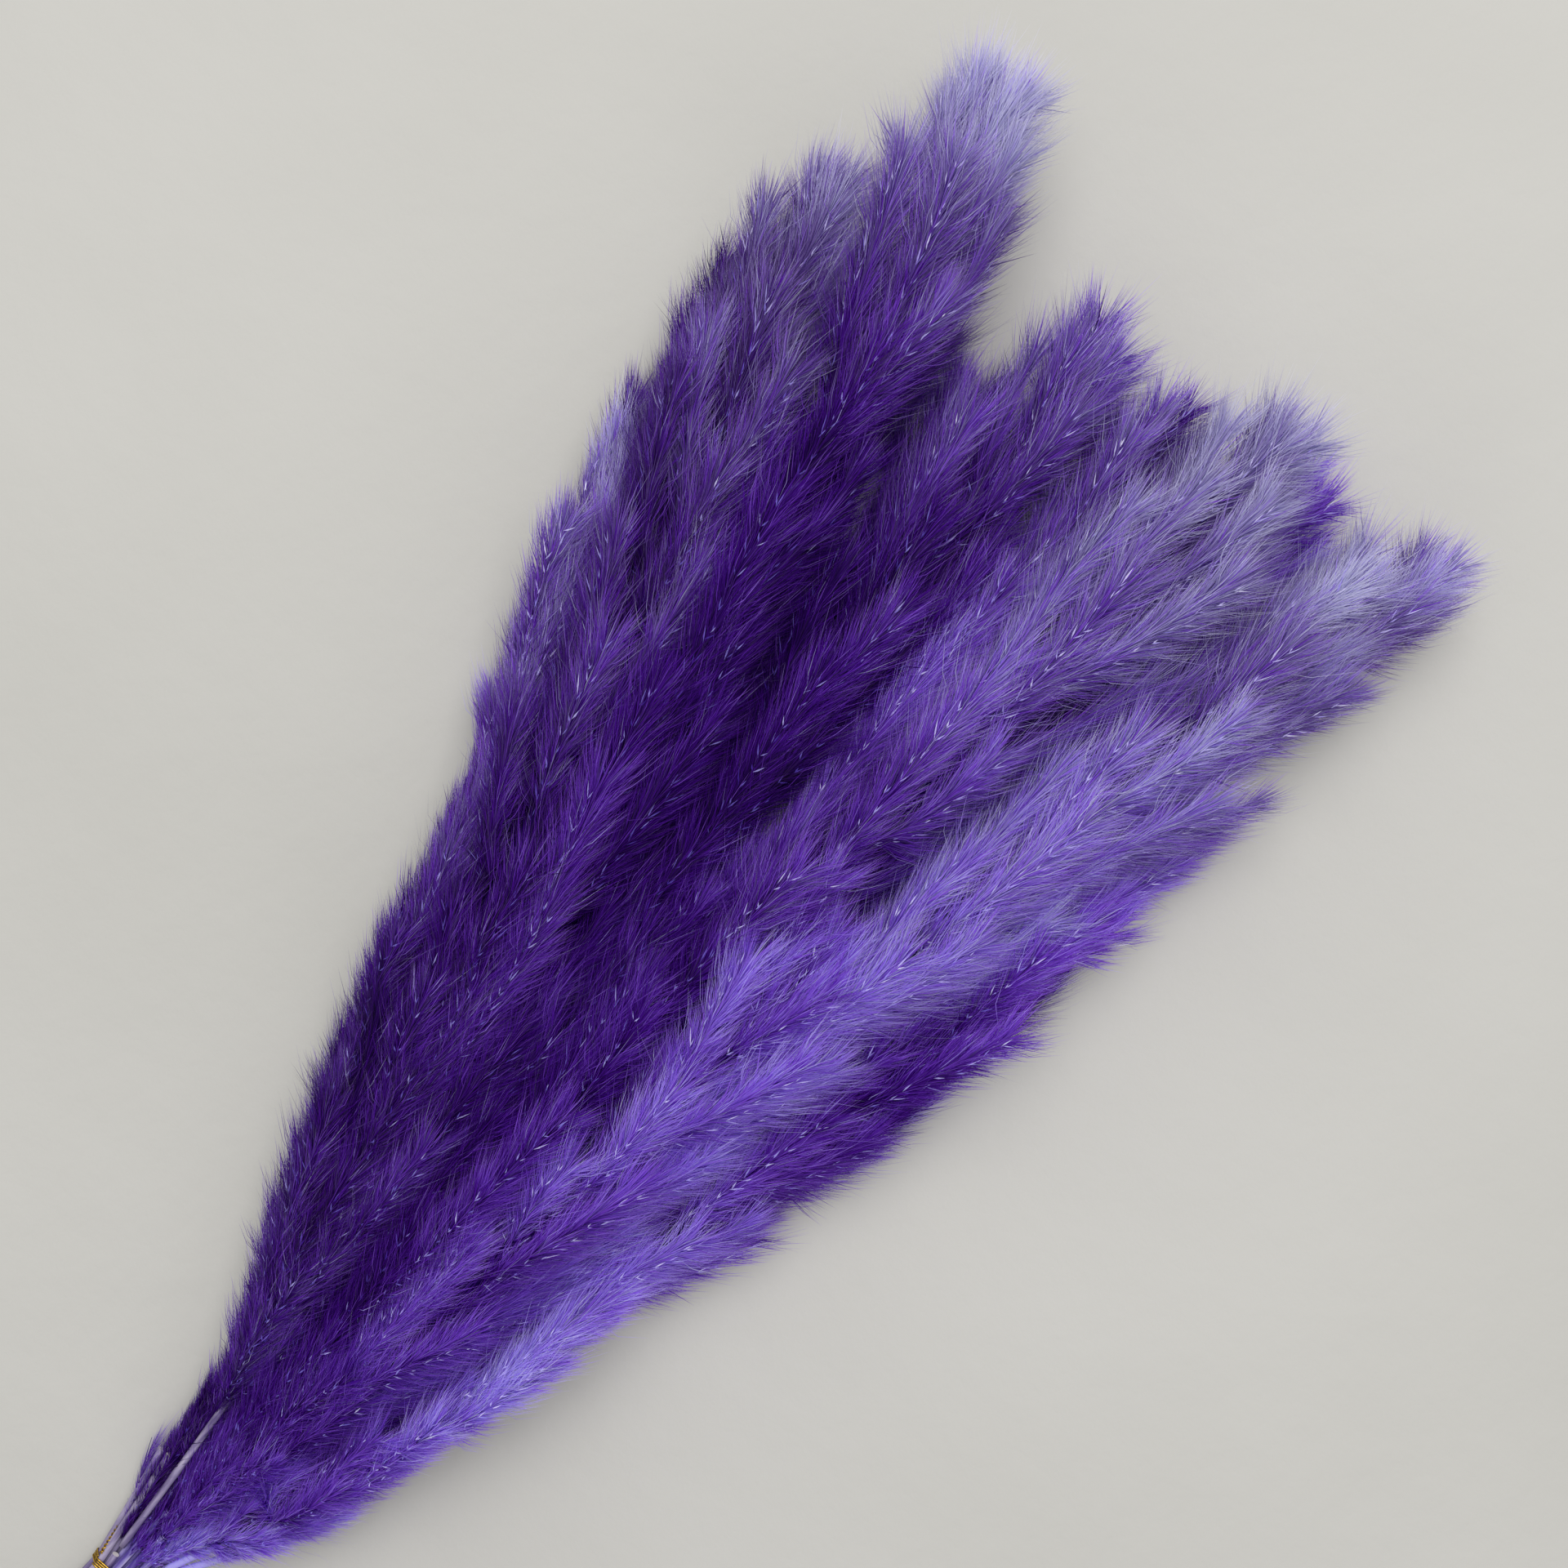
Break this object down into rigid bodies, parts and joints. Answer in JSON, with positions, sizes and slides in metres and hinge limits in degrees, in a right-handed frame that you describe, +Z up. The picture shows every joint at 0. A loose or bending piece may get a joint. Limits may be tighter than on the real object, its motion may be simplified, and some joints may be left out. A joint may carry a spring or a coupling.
{
  "type": "dried pampas grass bunch",
  "caption": "Tied bunch of dyed, dried pampas grass plumes on slim stems, lying flat and fanning out from the wire tie, for decoration.",
  "frame": {"origin": "middle of the bunch's footprint, on the surface it lies on", "axes": "+X from the cut stem ends to the plume tips, +Y to the left as seen from above, +Z up, away from the surface"},
  "size_m": [0.587, 0.2332, 0.0685],
  "materials": {
    "stem": "satin, fibrous dried grass stem",
    "plume_low": "silky plant hairs, deep violet",
    "plume_middle": "silky plant hairs, violet",
    "plume_top": "silky plant hairs, pale violet",
    "tie": "thin gold-coloured wire"
  },
  "bodies": {
    "root": {"stem_01": "stem", "plume_01": "plume_low", "stem_02": "stem", "plume_02": "plume_low", "stem_03": "stem", "plume_03": "plume_low", "stem_04": "stem", "plume_04": "plume_low", "stem_05": "stem", "plume_05": "plume_low", "stem_06": "stem", "plume_06": "plume_low", "stem_07": "stem", "plume_07": "plume_middle", "stem_08": "stem", "plume_08": "plume_middle", "stem_09": "stem", "plume_09": "plume_middle", "stem_10": "stem", "plume_10": "plume_middle", "stem_11": "stem", "plume_11": "plume_middle", "stem_12": "stem", "plume_12": "plume_middle", "stem_13": "stem", "plume_13": "plume_middle", "stem_14": "stem", "plume_14": "plume_top", "stem_15": "stem", "plume_15": "plume_top", "stem_16": "stem", "plume_16": "plume_top", "stem_17": "stem", "plume_17": "plume_top", "stem_18": "stem", "plume_18": "plume_top", "stem_19": "stem", "plume_19": "plume_top", "tie": "tie"}
  },
  "joints": []
}
